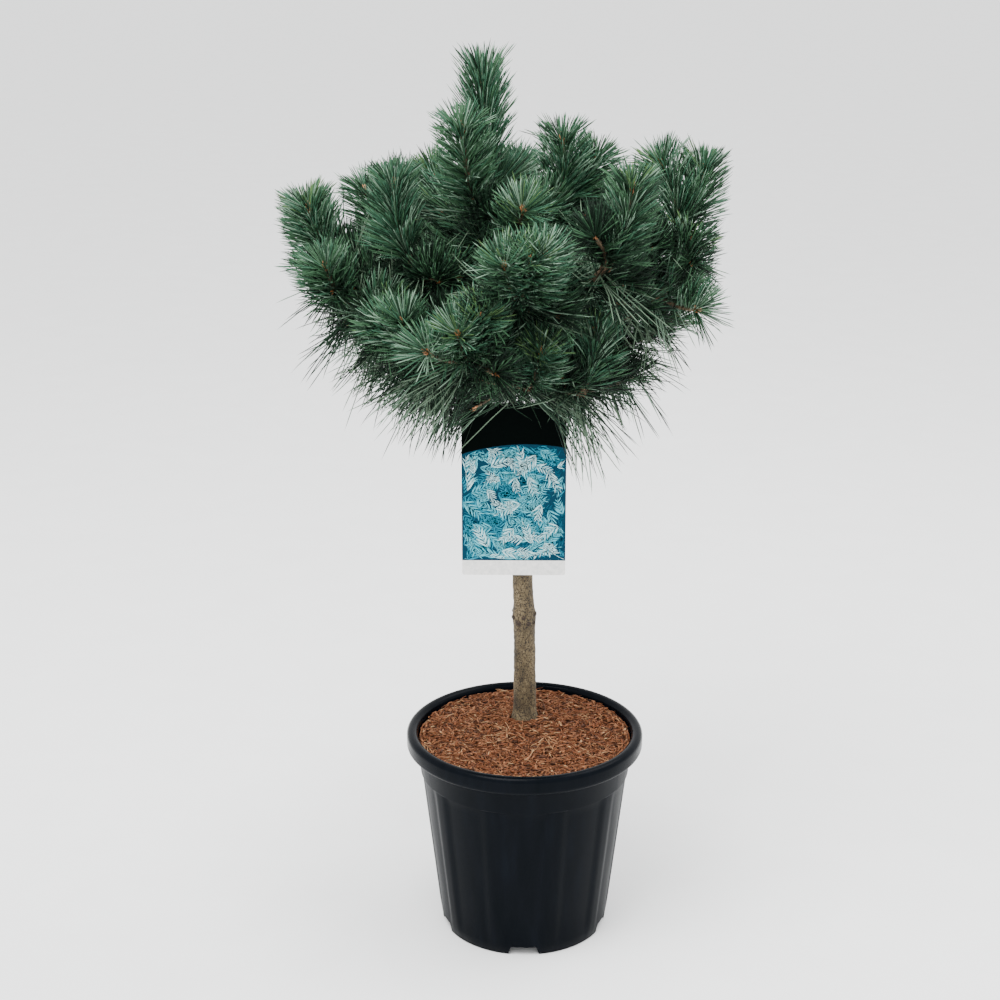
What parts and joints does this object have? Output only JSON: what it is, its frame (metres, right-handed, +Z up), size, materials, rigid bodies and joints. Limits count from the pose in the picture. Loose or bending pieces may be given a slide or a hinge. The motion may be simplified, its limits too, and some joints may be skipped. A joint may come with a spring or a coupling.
{
  "type": "potted watereri scots pine",
  "caption": "Young grafted Scots pine of dense rounded habit with a short leader, on a clear stem in a black nursery pot of potting mix, with a hanging plant tag.",
  "frame": {"origin": "middle of the pot's flat underside", "axes": "+Z up the pot and the trunk, -Y towards the front, where the tag hangs"},
  "size_m": [0.5136, 0.4857, 1.0508],
  "materials": {
    "pot_plastic": "satin",
    "bark_mulch": "matte",
    "trunk_bark": "matte",
    "young_bark": "matte",
    "needles": "satin",
    "printed_card": "semi-gloss",
    "strap_plastic": "satin"
  },
  "bodies": {
    "root": {"bough_back": "young_bark", "bough_back_left": "young_bark", "bough_back_left_low": "young_bark", "bough_back_low": "young_bark", "bough_back_right": "young_bark", "bough_back_right_low": "young_bark", "bough_front": "young_bark", "bough_front_left_low": "young_bark", "bough_front_low": "young_bark", "bough_left_back_high": "young_bark", "bough_left_far": "young_bark", "bough_left_front_low": "young_bark", "bough_left_high": "young_bark", "bough_left_low": "young_bark", "bough_right_far": "young_bark", "bough_right_front": "young_bark", "bough_right_front_low": "young_bark", "bough_right_low": "young_bark", "bough_right_under": "young_bark", "bough_top_back_left": "young_bark", "bough_top_back_right": "young_bark", "bough_top_front": "young_bark", "bough_top_left": "young_bark", "bough_top_right": "young_bark", "mass_back": "needles", "mass_back_left": "needles", "mass_back_left_low": "needles", "mass_back_low": "needles", "mass_back_right": "needles", "mass_back_right_low": "needles", "mass_front": "needles", "mass_front_left_low": "needles", "mass_front_low": "needles", "mass_leader": "needles", "mass_left_back_high": "needles", "mass_left_far": "needles", "mass_left_front_low": "needles", "mass_left_high": "needles", "mass_left_low": "needles", "mass_right_far": "needles", "mass_right_front": "needles", "mass_right_front_low": "needles", "mass_right_low": "needles", "mass_right_under": "needles", "mass_top_back_left": "needles", "mass_top_back_right": "needles", "mass_top_front": "needles", "mass_top_left": "needles", "mass_top_right": "needles", "pot": "pot_plastic", "potting_mix": "bark_mulch", "tag_card": "printed_card", "tag_strap": "strap_plastic", "trunk": "trunk_bark"}
  },
  "joints": []
}
